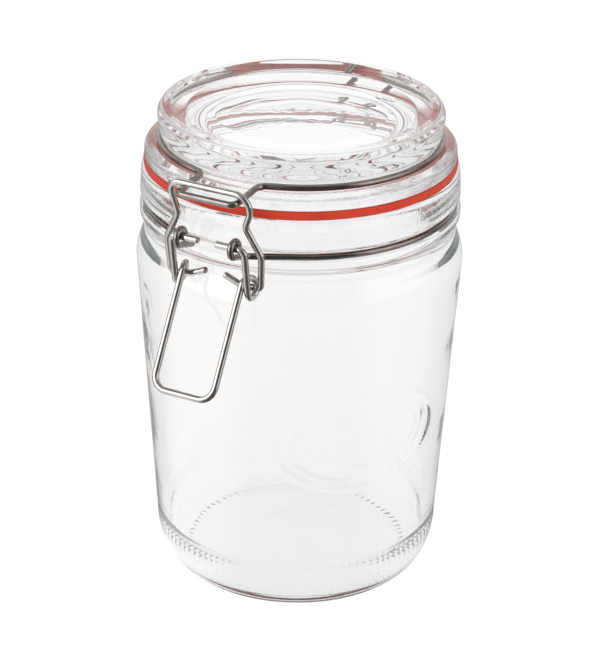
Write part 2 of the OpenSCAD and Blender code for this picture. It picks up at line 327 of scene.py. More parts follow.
# %% [markdown]
# ## Turning on a lathe, with Geometry Nodes
#
# Glass like this is formed in iron moulds that were turned on a lathe, so the shape follows one
# rule: a section, swept round an axis. Geometry Nodes does that with Curve to Mesh, along a
# circle of radius 1. The section is drawn 1 unit off, so that the sweep puts it back in place.
# The relief of the mould and the unevenness of hot glass are further steps of the same network.

# %% Lathe helpers


def new_tree(name, inputs):
    """Empty Geometry Nodes tree with named inputs: {name: (socket type, value)}."""
    tree = bpy.data.node_groups.new(name, "GeometryNodeTree")
    tree.interface.new_socket("Geometry", in_out="INPUT", socket_type="NodeSocketGeometry")
    for key, (kind, value) in inputs.items():
        socket = tree.interface.new_socket(key, in_out="INPUT", socket_type=kind)
        if value is not None:
            socket.default_value = value
    tree.interface.new_socket("Geometry", in_out="OUTPUT", socket_type="NodeSocketGeometry")
    nodes = Nodes(tree)
    entry = tree.nodes.new("NodeGroupInput")
    given = {s.name: Socket(nodes, s) for s in entry.outputs if s.name}
    return nodes, given


def finish_tree(nodes, shape, material):
    """Realize Instances, Set Material and the way out, which every tree ends with."""
    real = nodes.add("GeometryNodeRealizeInstances", None, shape)
    painted = nodes.add("GeometryNodeSetMaterial", None, Geometry=real, Material=material)
    way_out = nodes.tree.nodes.new("NodeGroupOutput")
    nodes.plug(way_out.inputs[0], painted)
    print(f"{nodes.tree.name}: {len(nodes.tree.nodes)} nodes")


def line_object(name, route, closed=False):
    """Polyline object through points given in millimetres."""
    mesh = bpy.data.meshes.new(name)
    count = len(route)
    edges = [(k, k + 1) for k in range(count - 1)] + ([(count - 1, 0)] if closed else [])
    mesh.from_pydata([tuple(Vector(p) * MM) for p in route], edges, [])
    return bpy.data.objects.new(name, mesh)


def made_by(tree, piece, values):
    """Plain mesh object that a Geometry Nodes tree makes from a piece, with named values."""
    bpy.context.scene.collection.objects.link(piece)
    modifier = piece.modifiers.new("shape", "NODES")
    modifier.node_group = tree
    for item in tree.interface.items_tree:
        if item.in_out == "INPUT" and item.name in values:
            modifier[item.identifier] = values[item.name]
    bpy.context.view_layer.update()
    seen = piece.evaluated_get(bpy.context.evaluated_depsgraph_get())
    mesh = bpy.data.meshes.new_from_object(seen)
    piece.modifiers.clear()
    piece.data = mesh
    mesh.name = piece.name
    face_outwards(mesh)
    print(f"{piece.name}: {len(mesh.vertices)} vertices, {len(mesh.polygons)} faces")
    return piece


def face_outwards(mesh):
    """Turns the faces of a closed mesh outwards, which the sign of its volume tells."""
    mesh.calc_loop_triangles()
    places = np.zeros(len(mesh.vertices) * 3)
    corners = np.zeros(len(mesh.loop_triangles) * 3, dtype=int)
    mesh.vertices.foreach_get("co", places)
    mesh.loop_triangles.foreach_get("vertices", corners)
    a, b, c = places.reshape(-1, 3)[corners].reshape(-1, 3, 3).transpose(1, 0, 2)
    volume = (np.cross(a, b) * c).sum() / 6
    if volume < 0:
        mesh.flip_normals()
    print(f"{mesh.name}: volume {abs(volume) / CM3:.2f} cm3")


# %% The lathe's network
WAVE_SCALE = 34.0
MERGE_DISTANCE = 4e-6
LATHE_SIZES = {
    "Segments": ("NodeSocketInt", 360),
    "Unevenness": ("NodeSocketFloat", 0.0),
    "Material": ("NodeSocketMaterial", None),
}


def round_axis(nodes, place):
    """Angle round the axis, radius and height of each point, the last two in millimetres."""
    split = nodes.node("ShaderNodeSeparateXYZ", None, place)
    x, y, z = (nodes.out(split, name) for name in "XYZ")
    radius = (x * x + y * y) ** 0.5 / MM
    return y.maths("ARCTAN2", x), radius, z / MM


def lathe(name, calm, relief, sizes=None):
    """Lathe tree. `relief(nodes, given, place)` says how far each point stands out, in millimetres,
    and `calm(nodes, place)` how much of the unevenness it gets."""
    nodes, given = new_tree(name, {**LATHE_SIZES, **(sizes or {})})
    profile = nodes.add("GeometryNodeMeshToCurve", None, given["Geometry"])
    circle = {"Resolution": given["Segments"], "Radius": 1.0}
    rail = nodes.add("GeometryNodeCurvePrimitiveCircle", None, **circle)
    swept = nodes.add("GeometryNodeCurveToMesh", None, rail, profile)
    closed = nodes.add("GeometryNodeMergeByDistance", None, Geometry=swept, Distance=MERGE_DISTANCE)
    smooth = nodes.add("GeometryNodeSetShadeSmooth", None, closed)
    place = nodes.add("GeometryNodeInputPosition")
    normal = nodes.add("GeometryNodeInputNormal")
    waves = nodes.noise(place, WAVE_SCALE, 1.0) - 0.5
    height = waves * given["Unevenness"] * calm(nodes, place) + relief(nodes, given, place)
    offset = nodes.vector("SCALE", normal, Scale=height * MM)
    uneven = nodes.add("GeometryNodeSetPosition", None, Geometry=smooth, Offset=offset)
    finish_tree(nodes, uneven, given["Material"])
    return nodes.tree


def turned(name, route, tree, closed=False, **values):
    """Piece turned from a half section, given as points in the XZ plane."""
    sheet = [Vector((p.x - 1 / MM, -p.z, 0)) for p in reversed(route)]
    return made_by(tree, line_object(name, sheet, closed), values)


# %% [markdown]
# ## The jar
#
# The wall is pressed and then blown into a mould, so it takes the mould's relief, and its skin
# stays a little uneven. The mould leaves a ring of short ridges under the heel, so that little
# of the hot foot touches the cooling belt, and a plain double oval on the side, where a label
# goes. The network makes both by moving points along their normals. The middle of the base is
# pushed up, so that the jar stands on the edge round it.

# %% The jar's relief
RIDGES = 84
RIDGES_IN_R, RIDGES_OUT_R, RIDGES_TOP_Z = 38.2, 39.8, 1.2
LABEL_AZIMUTH = math.radians(54)
LABEL_Z, LABEL_W, LABEL_H = 66.0, 62.0, 34.0
LINE, INNER_LINE = 0.06, 0.045
INNER_OVAL, INNER_RELIEF = 0.86, 0.7


def jar_relief(nodes, given, place):
    """The belt ridges under the heel and the double oval on the wall."""
    normal = nodes.add("GeometryNodeInputNormal")
    flat = nodes.vector("MULTIPLY", place, (1, 1, 0))
    outside = nodes.vector("DOT_PRODUCT", normal, flat, output="Value").fade(0.0, 0.01)
    angle, radius, z = round_axis(nodes, place)
    teeth = (angle * given["Ridges"]).maths("COSINE") * 0.5 + 0.5
    ring = radius.within(RIDGES_IN_R, RIDGES_OUT_R, 0.8)
    under = ring * (1 - z.fade(RIDGES_TOP_Z, RIDGES_TOP_Z + 1))
    side = (angle + (math.pi / 2 - LABEL_AZIMUTH)) * radius / (LABEL_W / 2)
    upward = (z - LABEL_Z) / (LABEL_H / 2)
    oval = (side * side + upward * upward) ** 0.5
    lines = (oval - 1.0).ridge(LINE) + (oval - INNER_OVAL).ridge(INNER_LINE) * INNER_RELIEF
    return lines * outside * given["Label relief"] - teeth * under * given["Ridge depth"]


def jar_calm(nodes, place):
    """0 where the jar has to be true, at its foot and its neck, and 1 between them."""
    foot_z, neck_z = (2.0, 12.0), (sealing_z - 30, sealing_z - 16)
    height = round_axis(nodes, place)[2]
    return height.fade(*foot_z) * (1 - height.fade(*neck_z))


jar_sizes = {
    "Ridges": ("NodeSocketInt", RIDGES),
    "Ridge depth": ("NodeSocketFloat", 0.0),
    "Label relief": ("NodeSocketFloat", 0.0),
}
jar_lathe = lathe("jar lathe", jar_calm, jar_relief, jar_sizes)

# %% The jar's foot and wall
HEEL_POINTS, FOOT_POINTS = 13, 8
LABEL_STEP, WALL_STEP = 1.1, 6.0
push_up, push_up_r = 1.0, 37.0
wall_t, floor_t = 3.3, 5.0
wall_top_r, wall_top_z = wall_r + 0.3, shoulder_z + 2
label_low_z = LABEL_Z - LABEL_H / 2 - 2
label_high_z = LABEL_Z + LABEL_H / 2 + 2
heel = [
    (base_r + heel_w * math.sin(t), heel_h * (1 - math.cos(t)), 0)
    for t in [math.pi / 2 * k / HEEL_POINTS for k in range(1, HEEL_POINTS)]
]
foot = [
    (push_up_r * k / FOOT_POINTS, push_up * (1 + math.cos(math.pi * k / FOOT_POINTS)) / 2, 0)
    for k in range(FOOT_POINTS + 1)
]


def wall_at(z):
    """Radius of the wall's straight flare at a height."""
    return heel_r + (wall_top_r - heel_r) * (z - heel_h) / (wall_top_z - heel_h)


def jar_spacing(p):
    """Longest stretch between points at a place: short only under the label's lines."""
    on_label = p.x > wall_at(p.z) - 1 and label_low_z < p.z < label_high_z
    return LABEL_STEP if on_label else WALL_STEP


print(f"wall from {heel_r:.1f} to {wall_top_r:.1f} mm in radius, floor {floor_t} mm thick")

# %% The jar's section
bead_z = neck_ring_z - WIRE / 2 - 0.2
band_z = neck_ring_z + WIRE / 2 + 0.4
throat_z = sealing_z - 12
band_r = wall_r - 1.3
bead_r = wall_r - 1.1
neck_r = wall_r - 2.7
outer_rows = [
    *foot,
    (base_r, 0, 0),
    *heel,
    (heel_r, heel_h, 0),
    (wall_at(label_low_z), label_low_z, 0),
    (wall_at(label_high_z), label_high_z, 0),
    (wall_top_r, wall_top_z, 12),
    (neck_r, shoulder_z + 10.5, 5),
    (neck_r, bead_z - 4.2, 2.5),
    (bead_r, bead_z - 2.6, 1.2),
    (bead_r, bead_z, 0.7),
    (neck_groove_r, bead_z + 0.2, 0.8),
    (neck_groove_r, band_z, 0.8),
    (band_r, band_z + 1.4, 1),
    (band_r - 0.5, sealing_z, 2.2),
]
inner_rows = [
    (mouth_r, sealing_z, 1),
    (mouth_r, throat_z, 4),
    (wall_r - wall_t - 1.2, throat_z - 12, 7),
    (wall_r - wall_t, shoulder_z - 4, 12),
    (heel_r - wall_t - 0.4, heel_h, 6),
    (base_r + 2, floor_t, 5.5),
    (0, floor_t, 0),
]
jar_section = section(outer_rows + inner_rows, jar_spacing)
print(f"jar section: {len(jar_section)} points")

# %% [markdown]
# ## Glass
#
# Clear glass is a Principled shader with full Transmission, and its look comes from what is
# round it. Three small things make it a jar and not a perfect lens: a trace of green from the
# sand, taken off inside the glass so that thick edges show more of it, a skin that is not quite
# even, as a Bump, and grainy patches in a band next to the gasket.

# %% Glass materials
GLASS_IOR = 1.51
GLASS_TINT = (0.845, 0.862, 0.859, 1)
SKIN_SCALE, GRAIN_SCALE, PATCH_SCALE, SMEAR_SCALE = 60.0, 950.0, 45.0, 22.0
PATCH_EDGE, SMEAR_EDGE = (0.42, 0.62), (0.5, 0.8)
GRAIN_SHARE, GRAIN_SOFT = 0.6, 1.5
SMEAR_ROUGHNESS = 0.01


def new_material(name):
    """Empty material, its nodes and its output node."""
    material = bpy.data.materials.new(name)
    material.use_nodes = True
    material.node_tree.nodes.clear()
    nodes = Nodes(material.node_tree)
    return material, nodes, material.node_tree.nodes.new("ShaderNodeOutputMaterial")


def on_object(nodes):
    """Place on the piece, in metres."""
    return nodes.add("ShaderNodeTexCoord", output="Object")


def glass(name, ripple, density, grain_from, grain_to):
    """Clear soda glass, with ripples of a height in millimetres and grain between two heights.
    The density says how fast its tint takes light off, per metre."""
    material, nodes, way_out = new_material(name)
    place = on_object(nodes)
    height = nodes.vector("DOT_PRODUCT", place, (0, 0, 1 / MM), output="Value")
    patches = nodes.noise(place, PATCH_SCALE, 2.0).fade(*PATCH_EDGE)
    grainy = height.within(grain_from, grain_to, GRAIN_SOFT) * patches
    grain = nodes.noise(place, GRAIN_SCALE, 2.0) * grainy * GRAIN_SHARE
    skin = nodes.noise(place, SKIN_SCALE, 2.0, 0.45) + grain
    bump = nodes.add("ShaderNodeBump", None, Strength=1.0, Distance=ripple * MM, Height=skin)
    smear = nodes.noise(place, SMEAR_SCALE, 4.0, 0.6).fade(*SMEAR_EDGE) * SMEAR_ROUGHNESS
    shader = nodes.add(
        "ShaderNodeBsdfPrincipled",
        None,
        Base_Color=(1, 1, 1, 1),
        Roughness=smear,
        IOR=GLASS_IOR,
        Transmission_Weight=1.0,
        Normal=bump,
    )
    depth = nodes.add("ShaderNodeVolumeAbsorption", None, Color=GLASS_TINT, Density=density)
    nodes.plug(way_out.inputs["Surface"], shader)
    nodes.plug(way_out.inputs["Volume"], depth)
    return material


jar_grain = {"grain_from": sealing_z - 10, "grain_to": sealing_z - 1}
lid_grain = {"grain_from": flange_z, "grain_to": flange_z + 3}
jar_glass = glass("jar_glass", ripple=0.1, density=14.0, **jar_grain)
lid_glass = glass("lid_glass", ripple=0.07, density=12.0, **lid_grain)
print("glass:", jar_glass.name, lid_glass.name, "with an index of refraction of", GLASS_IOR)

# %% Turn the jar
GLASS_SEGMENTS = 420
jar_relief_sizes = {"Ridges": RIDGES, "Ridge depth": 0.5, "Label relief": 0.5}
jar = turned(
    "jar_glass_body",
    jar_section,
    jar_lathe,
    Segments=GLASS_SEGMENTS,
    Unevenness=0.25,
    Material=jar_glass,
    **jar_relief_sizes,
)

# %% [markdown]
# ## The lid
#
# The lid is pressed in one piece: a plug that hangs into the mouth, a flange over the gasket, a
# groove for the wire, a high rim and a recessed middle. It is thick and its underside is domed,
# so it works as a lens, and the colour of the gasket shows in its rim. A press leaves it truer
# than the jar: only the flat disc in the middle is uneven.

# %% The lid's section


def no_relief(nodes, given, place):
    """Nothing stands out."""
    return 0.0


def lid_calm(nodes, place):
    """1 on the flat disc, and 0 from its edge out, where the lid is true."""
    disc_edge = (26, 31)
    return 1 - round_axis(nodes, place)[1].fade(*disc_edge)


plug_r = mouth_r - 0.7
plug_in_r = plug_r - 4
plug_z = flange_z - 3.6
recess_r, recess_z = 28.7, lid_top_z - 3.1
disc_t = 4.2
hollow_r, hollow_z = 36.3, recess_z - disc_t
dome = 5.1
ring_foot_z = lid_ring_z - WIRE / 2
DOME_POINTS = 9
dome_rows = [
    (hollow_r * k / DOME_POINTS, hollow_z - dome * (k / DOME_POINTS) ** 2, 0)
    for k in range(DOME_POINTS)
]
lid_rows = [
    *dome_rows,
    (hollow_r, hollow_z - dome, 6.5),
    (plug_in_r, plug_z, 1.2),
    (plug_r - 0.3, plug_z, 1),
    (plug_r, flange_z, 0),
    (flange_r, flange_z, 0.5),
    (flange_r, flange_z + 3.7, 1.6),
    (lid_groove_r + 2.8, ring_foot_z - 0.3, 0.5),
    (lid_groove_r, ring_foot_z - 0.1, 0.7),
    (lid_groove_r, lid_ring_z + 1.2, 1),
    (rim_r - 0.65, lid_ring_z + 2.3, 1.5),
    (rim_r + 0.2, lid_top_z - 2.4, 2.2),
    (rim_r - 1.3, lid_top_z, 1.8),
    (rim_r - 4.3, lid_top_z, 2.5),
    (rim_r - 9.6, lid_top_z - 1.9, 2.6),
    (recess_r, recess_z, 1.6),
    (0, recess_z, 0),
]
lid_section = section(lid_rows)
print(f"lid section: {len(lid_section)} points")

# %% Turn the lid
lid_lathe = lathe("lid lathe", lid_calm, no_relief)
lid = turned(
    "lid_glass_disc",
    lid_section,
    lid_lathe,
    Segments=GLASS_SEGMENTS,
    Unevenness=0.5,
    Material=lid_glass,
)

# %% [markdown]
# ## The gasket
#
# The gasket is a flat ring of orange-red rubber, moulded with rounded edges. A fine line round
# its outside shows where the two halves of its mould met. It is dull, a little uneven in
# colour, and finely grained.

# %% Rubber
RUBBER_DARK, RUBBER_LIGHT = (0.56, 0.030, 0.010, 1), (0.74, 0.052, 0.016, 1)
CLOUD_SCALE, SPECK_SCALE = 60.0, 900.0


def rubber():
    """Orange-red rubber, cloudy and finely specked."""
    material, nodes, way_out = new_material("gasket_rubber")
    place = on_object(nodes)
    cloud = nodes.noise(place, CLOUD_SCALE, 3.0)
    speck = nodes.noise(place, SPECK_SCALE, 2.0)
    colour = nodes.add(
        "ShaderNodeValToRGB",
        {"stops": [(0.3, RUBBER_DARK), (0.7, RUBBER_LIGHT)]},
        cloud * 0.7 + speck * 0.3,
    )
    grain = nodes.add("ShaderNodeBump", None, Strength=0.5, Distance=0.05 * MM, Height=speck)
    shader = nodes.add(
        "ShaderNodeBsdfPrincipled",
        None,
        Base_Color=colour,
        Roughness=0.36 + cloud * 0.2,
        Specular_IOR_Level=0.35,
        Normal=grain,
    )
    nodes.plug(way_out.inputs["Surface"], shader)
    return material


gasket_rubber = rubber()
print("rubber:", gasket_rubber.name)

# %% Turn the gasket
GASKET_SEGMENTS = 288
AIR_GAP = 0.02
gasket_in_r = plug_r + 1.5
edge = 0.5
seam_z = (gasket_z + flange_z) / 2
seam_half, seam_out = 0.14, 0.1
bottom, top = gasket_z + AIR_GAP, flange_z - AIR_GAP
side_r = gasket_r - seam_out
gasket_rows = [
    (gasket_in_r, seam_z, 0),
    (gasket_in_r, bottom, edge),
    (side_r, bottom, edge),
    (side_r, seam_z - seam_half, 0),
    (gasket_r, seam_z, 0),
    (side_r, seam_z + seam_half, 0),
    (side_r, top, edge),
    (gasket_in_r, top, edge),
    (gasket_in_r, seam_z, 0),
]
gasket_section = section(gasket_rows)[:-1]


def flat_calm(nodes, place):
    """No unevenness anywhere."""
    return 0.0


gasket_lathe = lathe("gasket lathe", flat_calm, no_relief)
gasket = turned(
    "gasket_ring",
    gasket_section,
    gasket_lathe,
    closed=True,
    Segments=GASKET_SEGMENTS,
    Material=gasket_rubber,
)

# %% [markdown]
# ## Bent wire
#
# A closure like this is four wires, bent cold. Each bend has a true radius, so a wire is drawn as
# the line through its middle: straight runs, arcs, and the curls at its ends. The rings and
# the clasp are laid through corner points. The lever is easier to give the way a bender
# makes it, as feeds, rolls and bends.

# %% Lines for the wires
FEED_STEP = 4
RING_STEP, CURL_STEP = 2.5, 7.5


def straight(start, end):
    """Straight run, with points along it."""
    return spaced([start, end], lambda p: FEED_STEP)


def joined(*parts):
    """One line from several that meet end to end."""
    line = [parts[0][0]]
    for part in parts:
        line.extend(p for p in part if (p - line[-1]).length > SAME_PLACE)
    return line


def both_halves(left, right):
    """Whole wire from two halves that start in its middle; the left one is mirrored."""
    mirrored = [Vector((-p.x, p.y, p.z)) for p in left]
    return joined(mirrored[::-1], right)


def on_ring(r, z, angle):
    """Point on a ring, at an angle in degrees from the front."""
    t = math.radians(angle)
    return Vector((r * math.sin(t), -r * math.cos(t), z))


def off_ring(r, z, angle, side):
    """Where a wire that leaves the ring at this angle, running straight on, comes to x = side."""
    t = math.radians(angle)
    start = on_ring(r, z, angle)
    run = (start.x - side) / math.cos(t)
    return start - run * Vector((math.cos(t), math.sin(t), 0))


def ring_arc(r, z, start, end):
    """Points along a ring, from one angle in degrees to another."""
    count = math.ceil(abs(end - start) / RING_STEP)
    return [on_ring(r, z, start + (end - start) * k / count) for k in range(count + 1)]


def bent(points, radii):
    """Line through corner points, with an arc at each inner one."""
    return spaced(rounded_route([Vector(p) for p in points], radii), lambda p: FEED_STEP)


def curl(start, run, side, radius, angle):
    """Arc that leaves start along run and turns towards side, by an angle in degrees."""
    centre = start + side * radius
    count = math.ceil(angle / CURL_STEP)
    turns = [math.radians(angle) * k / count for k in range(count + 1)]
    return [centre - side * radius * math.cos(t) + run * radius * math.sin(t) for t in turns]


def bender(start, run, side, steps):
    """Line that a wire bender makes from steps of [feed, roll, bend radius, bend angle]."""
    line = [start]
    for feed, roll, radius, angle in steps:
        if feed:
            line = joined(line, straight(line[-1], line[-1] + run * feed))
        side = Matrix.Rotation(math.radians(roll), 3, run) @ side
        if angle:
            line = joined(line, curl(line[-1], run, side, radius, angle))
            c, s = math.cos(math.radians(angle)), math.sin(math.radians(angle))
            run, side = run * c + side * s, side * c - run * s
    return line


def measured(name, line):
    """The line itself, after printing how much wire it takes."""
    length = sum((b - a).length for a, b in zip(line, line[1:]))
    print(f"{name}: {length:.0f} mm of wire")
    return line


# %% The neck ring
EYE_SLACK, EYE_DROP = 0.35, 0.25
EYE_X = 9.9
EYE_R = (WIRE + LEVER_WIRE) / 2 + EYE_SLACK
EYE_TURN = 270
HINGE_EYE_X = 7.5
BAR_SPARE = 0.6


def neck_ring_line():
    """Round the groove, into the lever's two eyes in front, and up into the hinge's bar behind."""
    front, rear = 28, 160
    eye_middle = Vector((EYE_X, -pin_y, pin_z - EYE_DROP))
    foot = off_ring(neck_ring_r, neck_ring_z, front, EYE_X)
    reach = (eye_middle - foot).length
    tilt = math.atan2(eye_middle.z - foot.z, foot.y - eye_middle.y) - math.asin(EYE_R / reach)
    run = Vector((0, -math.cos(tilt), math.sin(tilt)))
    side = Vector((0, math.sin(tilt), math.cos(tilt)))
    end = eye_middle - side * EYE_R
    bar_x = HINGE_EYE_X + WIRE / 2 + BEND + BAR_SPARE
    bar = [
        (0, hinge_y, hinge_z),
        (bar_x, hinge_y, hinge_z),
        off_ring(neck_ring_r, neck_ring_z, rear, bar_x),
        on_ring(neck_ring_r, neck_ring_z, rear),
    ]
    half = joined(
        bent(bar, [BEND, BEND]),
        ring_arc(neck_ring_r, neck_ring_z, rear, front),
        bent([on_ring(neck_ring_r, neck_ring_z, front), foot, end], [BEND]),
        curl(end, run, side, EYE_R, EYE_TURN),
    )
    return both_halves(half, half)


neck_ring_path = measured("neck ring", neck_ring_line())

# %% The lid ring
NOSE_X = 10.4
NOSE_OUT = 7.4
NOSE_DROP = 1.3
NOSE_BEND = 4
HINGE_SLACK = 0.1
nose_y = wall_r + NOSE_OUT
nose_z = lid_ring_z - NOSE_DROP


def lid_ring_line():
    """The nose in front, round the lid's groove, and down into the two hinge eyes behind."""
    front, rear = 20, 165
    eye_r = WIRE + HINGE_SLACK
    nose = [
        (0, -nose_y, nose_z),
        (NOSE_X, -nose_y, nose_z),
        off_ring(lid_ring_r, lid_ring_z, front, NOSE_X),
        on_ring(lid_ring_r, lid_ring_z, front),
    ]
    down_y = hinge_y + eye_r
    down = Vector((HINGE_EYE_X, down_y, hinge_z))
    tail = [
        on_ring(lid_ring_r, lid_ring_z, rear),
        off_ring(lid_ring_r, lid_ring_z, rear, HINGE_EYE_X),
        (HINGE_EYE_X, down_y, lid_ring_z),
        down,
    ]
    half = joined(
        bent(nose, [BEND, NOSE_BEND]),
        ring_arc(lid_ring_r, lid_ring_z, front, rear),
        bent(tail, [BEND, BEND]),
        curl(down, Vector((0, 0, -1)), Vector((0, -1, 0)), eye_r, EYE_TURN),
    )
    return both_halves(half, half)


lid_ring_path = measured("lid ring", lid_ring_line())

# %% The lever
COIL_R = 3.0
COIL_GAP = 0.15
COIL_PITCH = LEVER_WIRE + COIL_GAP
arm_x = EYE_X + WIRE / 2 + COIL_GAP + BEND
handle_x = arm_x - COIL_PITCH


def lever_line():
    """The handle's cross bar and sides, a turn of coil each, the arms, and the two pins."""
    handle_l, corner_r = 38.4, 5
    tilt = 29.5
    pin_end_x = 3.1
    t = math.radians(tilt)
    coil = Vector((0, -coil_y, coil_z))
    down = Vector((0, -math.sin(t), -math.cos(t)))
    start = coil + COIL_R * Vector((0, -math.cos(t), math.sin(t))) + down * handle_l
    drop, out = pin_z - coil_z, pin_y - coil_y
    reach = math.hypot(out, drop)
    arm_angle = math.degrees(math.atan2(drop, out) - math.acos(COIL_R / reach))
    arm_l = math.sqrt(reach**2 - COIL_R**2)
    over_r = math.hypot(COIL_R, COIL_PITCH / 2)
    over_roll = math.degrees(math.atan2(COIL_PITCH / 2, COIL_R))
    steps = [
        (handle_x - corner_r, 0, corner_r, 90),
        (handle_l - corner_r, -90 - over_roll, over_r, 180),
        (0, -over_roll, COIL_R, 180 - tilt + arm_angle),
        (arm_l - BEND, 90, BEND, 90),
        (arm_x - BEND - pin_end_x, 0, 0, 0),
    ]
    half = bender(start, Vector((1, 0, 0)), -down, steps)
    return both_halves(half, half)


lever_path = measured("lever", lever_line())

# %% The clasp
HOOK_GAP, NOSE_GAP = 0.6, 0.2
clasp_pin = Vector((0, -coil_y, coil_z))
clasp_top_y = nose_y - WIRE - NOSE_GAP
nose_slope = NOSE_DROP / (nose_y - lid_ring_r)
nose_under_top_z = nose_z + nose_slope * (nose_y - clasp_top_y)
clasp_top = Vector((0, -clasp_top_y, nose_under_top_z + WIRE + HOOK_GAP))


def clasp_half(top_extra, bulge_extra, drop):
    """Half a clasp. The extras are the width and the drop that bending by hand leaves."""
    up = (clasp_top - clasp_pin).normalized()
    height = (clasp_top - clasp_pin).length
    top_r, waist_r, bulge_r, leg_r = 3.4 + top_extra, 3.0, 4.5, 1.9
    top_x = 15.1 + top_extra
    waist_x, waist_up = 12.3, height - 11.4
    bulge_x, bulge_up = 17.1 + bulge_extra, height - 21
    leg_x, leg_up = arm_x + LEVER_WIRE / 2 + COIL_GAP + leg_r, 0.5 - drop
    tip_x, tip_up = handle_x - LEVER_WIRE / 2 - 0.8, 0.5
    end_x, end_up = 3.3, 3.0
    points = [
        clasp_top,
        clasp_top + Vector((top_x, 0, 0)),
        clasp_pin + Vector((waist_x, 0, 0)) + up * waist_up,
        clasp_pin + Vector((bulge_x, 0, 0)) + up * bulge_up,
        clasp_pin + Vector((leg_x, 0, 0)) + up * leg_up,
        clasp_pin + Vector((tip_x, 0, 0)) + up * tip_up,
        clasp_pin + Vector((end_x, 0, 0)) + up * end_up,
    ]
    return bent(points, [top_r, waist_r, bulge_r, leg_r, BEND])


def clasp_line():
    """The clasp, whose right half is a little wider and whose left leg hangs a little lower."""
    left = clasp_half(top_extra=0, bulge_extra=0, drop=1.5)
    right = clasp_half(top_extra=1.8, bulge_extra=0.5, drop=0)
    return both_halves(left, right)


clasp_path = measured("clasp", clasp_line())

# %% [markdown]
# ## Drawn wire, with Geometry Nodes
#
# A wire follows its line, so Curve to Mesh makes it: a round profile carried along the line. Two
# more things are worked out on the way. The ends are cut and tumbled, so the profile shrinks a
# little over the last fraction of a millimetre. And each point keeps its place round the wire
# and along it, as an attribute, so that the steel can show the fine lines that the die leaves.

# %% The wire's network
WIRE_SIDES = 28
CUT, CUT_SHARE = 0.35, 0.25
WIRE_SIZES = {
    "Diameter": ("NodeSocketFloat", WIRE),
    "Sides": ("NodeSocketInt", WIRE_SIDES),
    "Cut": ("NodeSocketFloat", CUT),
    "Material": ("NodeSocketMaterial", None),
}


def wire_tree():
    """Tree that carries a round profile along a line and stores each point's place on the wire."""
    nodes, given = new_tree("drawn wire", WIRE_SIZES)
    line = nodes.add("GeometryNodeMeshToCurve", None, given["Geometry"])
    along = nodes.add("GeometryNodeSplineParameter", output="Length")
    whole = nodes.add("GeometryNodeSplineLength", output="Length")
    from_end = along.maths("MINIMUM", whole - along)
    taper = (from_end / (given["Cut"] * MM)).maths("MINIMUM", 1.0)
    circle = {"Resolution": given["Sides"], "Radius": given["Diameter"] * (MM / 2)}
    profile = nodes.add("GeometryNodeCurvePrimitiveCircle", None, **circle)
    place = nodes.add("GeometryNodeInputPosition")
    keep_round = {"captured": [("Round", "VECTOR")]}
    round_node = nodes.node("GeometryNodeCaptureAttribute", keep_round, profile, place)
    keep_along = {"captured": [("Along", "FLOAT")]}
    along_node = nodes.node("GeometryNodeCaptureAttribute", keep_along, line, along)
    swept = nodes.add(
        "GeometryNodeCurveToMesh",
        None,
        nodes.out(along_node, "Geometry"),
        nodes.out(round_node, "Geometry"),
        Scale=(1 - CUT_SHARE) + taper * CUT_SHARE,
        Fill_Caps=True,
    )
    split = nodes.node("ShaderNodeSeparateXYZ", None, nodes.out(round_node, "Round"))
    drawn = nodes.add(
        "ShaderNodeCombineXYZ",
        None,
        nodes.out(split, "X"),
        nodes.out(split, "Y"),
        nodes.out(along_node, "Along"),
    )
    named = nodes.add(
        "GeometryNodeStoreNamedAttribute",
        {"data_type": "FLOAT_VECTOR", "domain": "POINT"},
        Geometry=swept,
        Name="drawn",
        Value=drawn,
    )
    smooth = nodes.add("GeometryNodeSetShadeSmooth", None, named)
    finish_tree(nodes, smooth, given["Material"])
    return nodes.tree


drawn_wire = wire_tree()


def wire(name, line, material, diameter=WIRE):
    """Wire of a given diameter along a line, with extra points where its ends are cut."""
    first, last = line[1] - line[0], line[-2] - line[-1]
    cut = [line[0], line[0] + first.normalized() * CUT]
    cut_end = [line[-1] + last.normalized() * CUT, line[-1]]
    piece = line_object(name, joined(cut, line[1:-1], cut_end))
    values = {"Diameter": diameter, "Sides": WIRE_SIDES, "Cut": CUT, "Material": material}
    return made_by(drawn_wire, piece, values)


# %% [markdown]
# ## Steel
#
# Drawn wire is bright, with fine lines along its length from the die, and handling leaves faint
# darker patches. The lines are noise read from the wire's own attribute, squeezed round the wire
# and stretched along it. The two rings are the same steel as the clasp and the lever, painted
# darker: painted shade for the dark glass and groove round them, which they mirror.

# %% Steel materials
ROUND_SCALE, ALONG_SCALE, MARK_SCALE = 4200, 60, 260.0
LINE_ROUGHNESS, MARK_ROUGHNESS = 0.06, 0.05
MARK_SHADE = 0.62


def steel(name, shade, roughness):
    """Drawn steel of a given shade and mean roughness. Lines and marks add 0.05 to the least."""
    material, nodes, way_out = new_material(name)
    drawn = nodes.add("ShaderNodeAttribute", {"attribute_name": "drawn"}, output="Vector")
    stretched = nodes.vector("MULTIPLY", drawn, (ROUND_SCALE, ROUND_SCALE, ALONG_SCALE))
    lines = nodes.noise(stretched, 1.0, 3.0, 0.6)
    marks = nodes.noise(on_object(nodes), MARK_SCALE, 4.0, 0.65)
    dark = tuple(MARK_SHADE * v for v in shade) + (1,)
    colour = nodes.add(
        "ShaderNodeValToRGB",
        {"stops": [(0.35, dark), (0.6, shade + (1,))]},
        lines * 0.5 + marks * 0.5,
    )
    least = roughness - 0.05
    bump = nodes.add("ShaderNodeBump", None, Strength=0.25, Distance=0.01 * MM, Height=lines)
    shader = nodes.add(
        "ShaderNodeBsdfPrincipled",
        None,
        Base_Color=colour,
        Metallic=1.0,
        Roughness=lines * LINE_ROUGHNESS + (marks * MARK_ROUGHNESS + least),
        Normal=bump,
    )
    nodes.plug(way_out.inputs["Surface"], shader)
    return material
